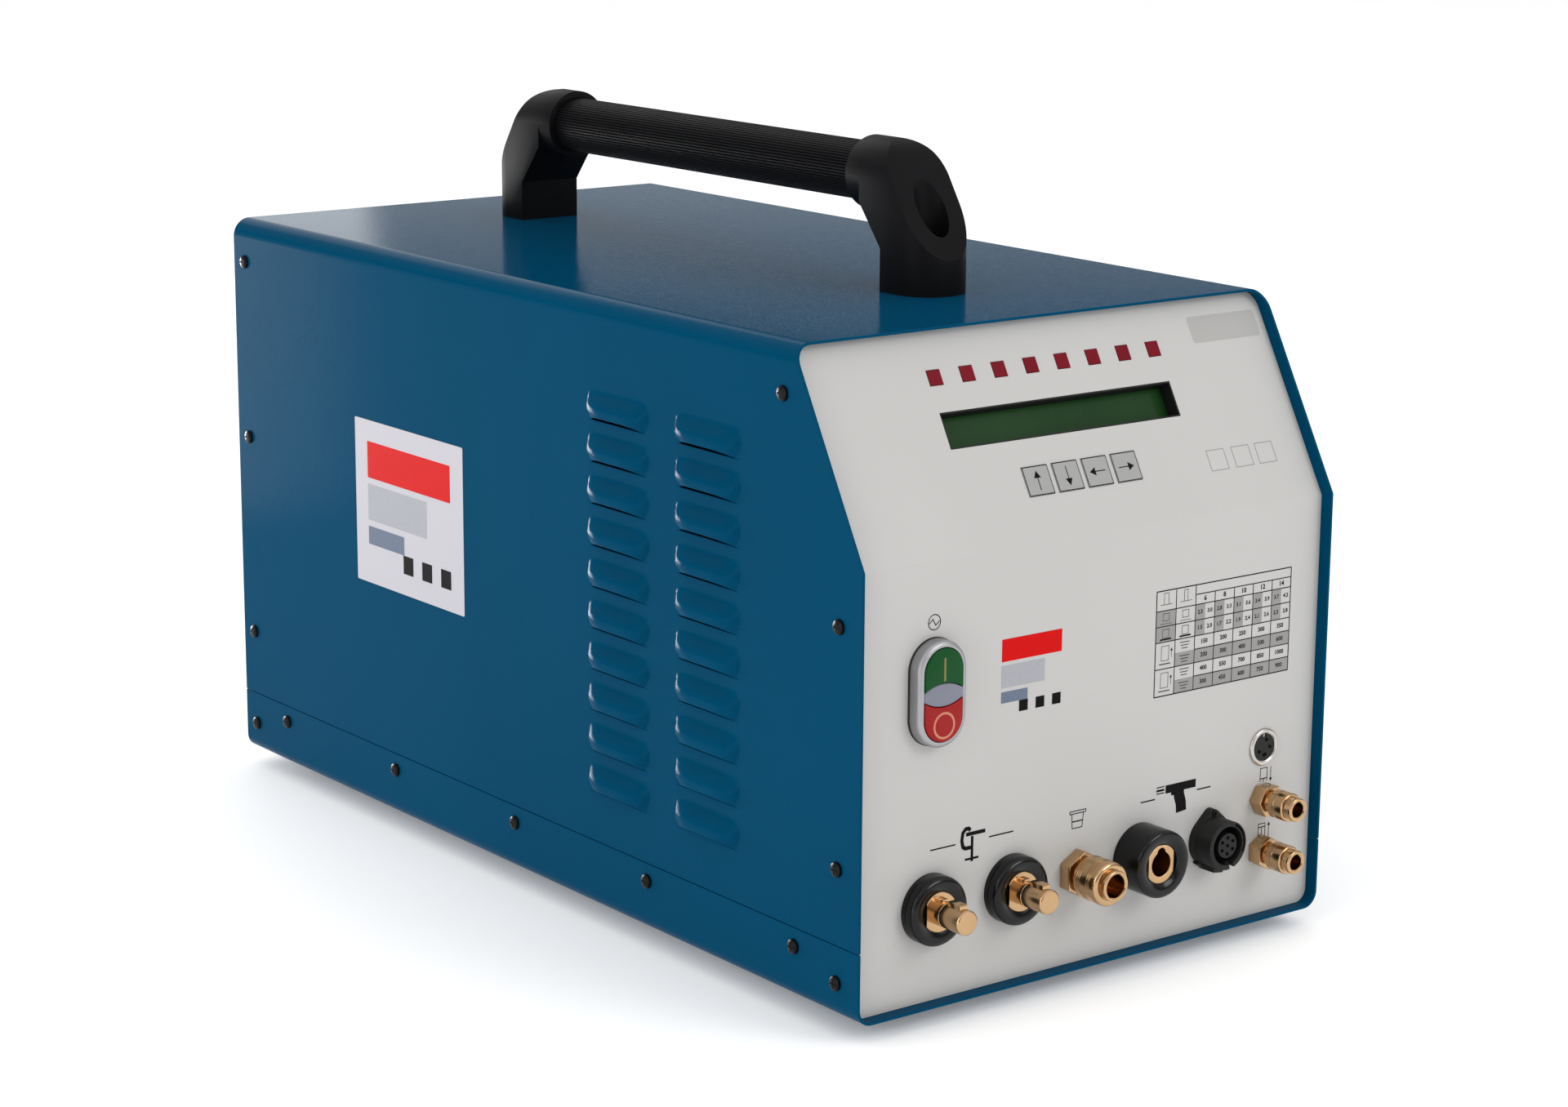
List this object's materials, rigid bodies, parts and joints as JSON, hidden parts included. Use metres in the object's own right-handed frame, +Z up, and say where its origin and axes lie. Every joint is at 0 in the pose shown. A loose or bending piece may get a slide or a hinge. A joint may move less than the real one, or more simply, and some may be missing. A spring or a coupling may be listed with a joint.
{
  "type": "inverter welder",
  "caption": "Compact stud welding inverter in a louvred sheet steel case with a carrying handle, a sloped control panel, bayonet weld sockets, quick couplings and a double mains button",
  "frame": {"origin": "on the floor, under the centre of the overall box", "axes": "X to the machine's left-to-right seen from the front, Y from the front panel to the back, Z up"},
  "size_m": [0.332, 0.663, 0.4235],
  "materials": {
    "case_paint": "fine-textured powder coat",
    "panel_paint": "satin light grey",
    "foot_rubber": "matt",
    "handle_plastic": "satin black",
    "collar_plastic": "satin black",
    "brass": "turned",
    "bright_metal": "satin",
    "socket_plastic": "moulded",
    "lens_plastic": "frosted",
    "green_cap": "gloss",
    "red_cap": "gloss",
    "key_plastic": "membrane",
    "lamp_plastic": "dark red",
    "lcd_glass": "clear over green",
    "circuit_board": "coated",
    "black_part": "moulded",
    "sink_metal": "extruded",
    "core_steel": "laminated",
    "winding_wire": "varnished wire",
    "steel": "zinc plated"
  },
  "bodies": {
    "housing": {"base_tray": "case_paint", "cover_hood": "case_paint", "front_panel": "panel_paint", "rear_panel": "panel_paint", "rubber_feet": "foot_rubber", "handle_grip": "handle_plastic", "handle_bracket_front": "handle_plastic", "handle_bracket_rear": "handle_plastic", "weld_collar_left": "collar_plastic", "weld_collar_right": "collar_plastic", "weld_pin_left": "brass", "weld_pin_right": "brass", "gun_socket_collar": "collar_plastic", "gun_socket_insert": "brass", "gas_coupling_body": "brass", "air_coupling_upper_body": "brass", "air_coupling_lower_body": "brass", "control_socket_shell": "socket_plastic", "control_socket_insert": "socket_plastic", "signal_socket_ring": "bright_metal", "signal_socket_insert": "socket_plastic", "button_gasket": "foot_rubber", "button_bezel": "bright_metal", "button_lens": "lens_plastic", "switch_block": "black_part", "display_board": "circuit_board", "board_standoffs": "steel", "lcd_module": "black_part", "lcd_window": "lcd_glass", "indicator_lamps": "lamp_plastic", "cable_gland": "black_part", "gas_inlet": "brass", "air_inlet": "brass", "fan_frame": "black_part", "heat_sink": "sink_metal", "power_modules": "black_part", "power_board": "circuit_board", "capacitor_bank": "black_part", "transformer_core": "core_steel", "transformer_winding": "winding_wire", "choke_core": "core_steel", "choke_winding": "winding_wire", "contactor": "black_part", "gas_valve": "brass", "air_valve": "brass"},
    "on_button": {"on_button": "green_cap"},
    "off_button": {"off_button": "red_cap"},
    "key_up": {"key_up": "key_plastic"},
    "key_down": {"key_down": "key_plastic"},
    "key_left": {"key_left": "key_plastic"},
    "key_right": {"key_right": "key_plastic"},
    "gas_sleeve": {"gas_coupling_sleeve": "brass"},
    "air_upper_sleeve": {"air_coupling_upper_sleeve": "brass"},
    "air_lower_sleeve": {"air_coupling_lower_sleeve": "brass"},
    "fan": {"fan_rotor": "black_part"}
  },
  "joints": [
    {"name": "on_press", "type": "slide", "parent": "housing", "child": "on_button", "axis": [0, 1, 0], "range_m": [0, 0.0026], "stiffness_N_per_m": 400, "springref_m": -0.0005},
    {"name": "off_press", "type": "slide", "parent": "housing", "child": "off_button", "axis": [0, 1, 0], "range_m": [0, 0.0026], "stiffness_N_per_m": 400, "springref_m": -0.0005},
    {"name": "key_up_press", "type": "slide", "parent": "housing", "child": "key_up", "axis": [0, 0.8742, -0.4856], "range_m": [0, 0.0005], "stiffness_N_per_m": 800, "springref_m": -0.0005},
    {"name": "key_down_press", "type": "slide", "parent": "housing", "child": "key_down", "axis": [0, 0.8742, -0.4856], "range_m": [0, 0.0005], "stiffness_N_per_m": 800, "springref_m": -0.0005},
    {"name": "key_left_press", "type": "slide", "parent": "housing", "child": "key_left", "axis": [0, 0.8742, -0.4856], "range_m": [0, 0.0005], "stiffness_N_per_m": 800, "springref_m": -0.0005},
    {"name": "key_right_press", "type": "slide", "parent": "housing", "child": "key_right", "axis": [0, 0.8742, -0.4856], "range_m": [0, 0.0005], "stiffness_N_per_m": 800, "springref_m": -0.0005},
    {"name": "gas_sleeve_slide", "type": "slide", "parent": "housing", "child": "gas_sleeve", "axis": [0, 1, 0], "range_m": [0, 0.0032], "stiffness_N_per_m": 600, "springref_m": -0.0005},
    {"name": "air_upper_sleeve_slide", "type": "slide", "parent": "housing", "child": "air_upper_sleeve", "axis": [0, 1, 0], "range_m": [0, 0.003], "stiffness_N_per_m": 600, "springref_m": -0.0005},
    {"name": "air_lower_sleeve_slide", "type": "slide", "parent": "housing", "child": "air_lower_sleeve", "axis": [0, 1, 0], "range_m": [0, 0.003], "stiffness_N_per_m": 600, "springref_m": -0.0005},
    {"name": "fan_spin", "type": "hinge", "parent": "housing", "child": "fan", "pos_m": [0, 0.304, 0.21], "axis": [0, 1, 0], "continuous": true}
  ]
}
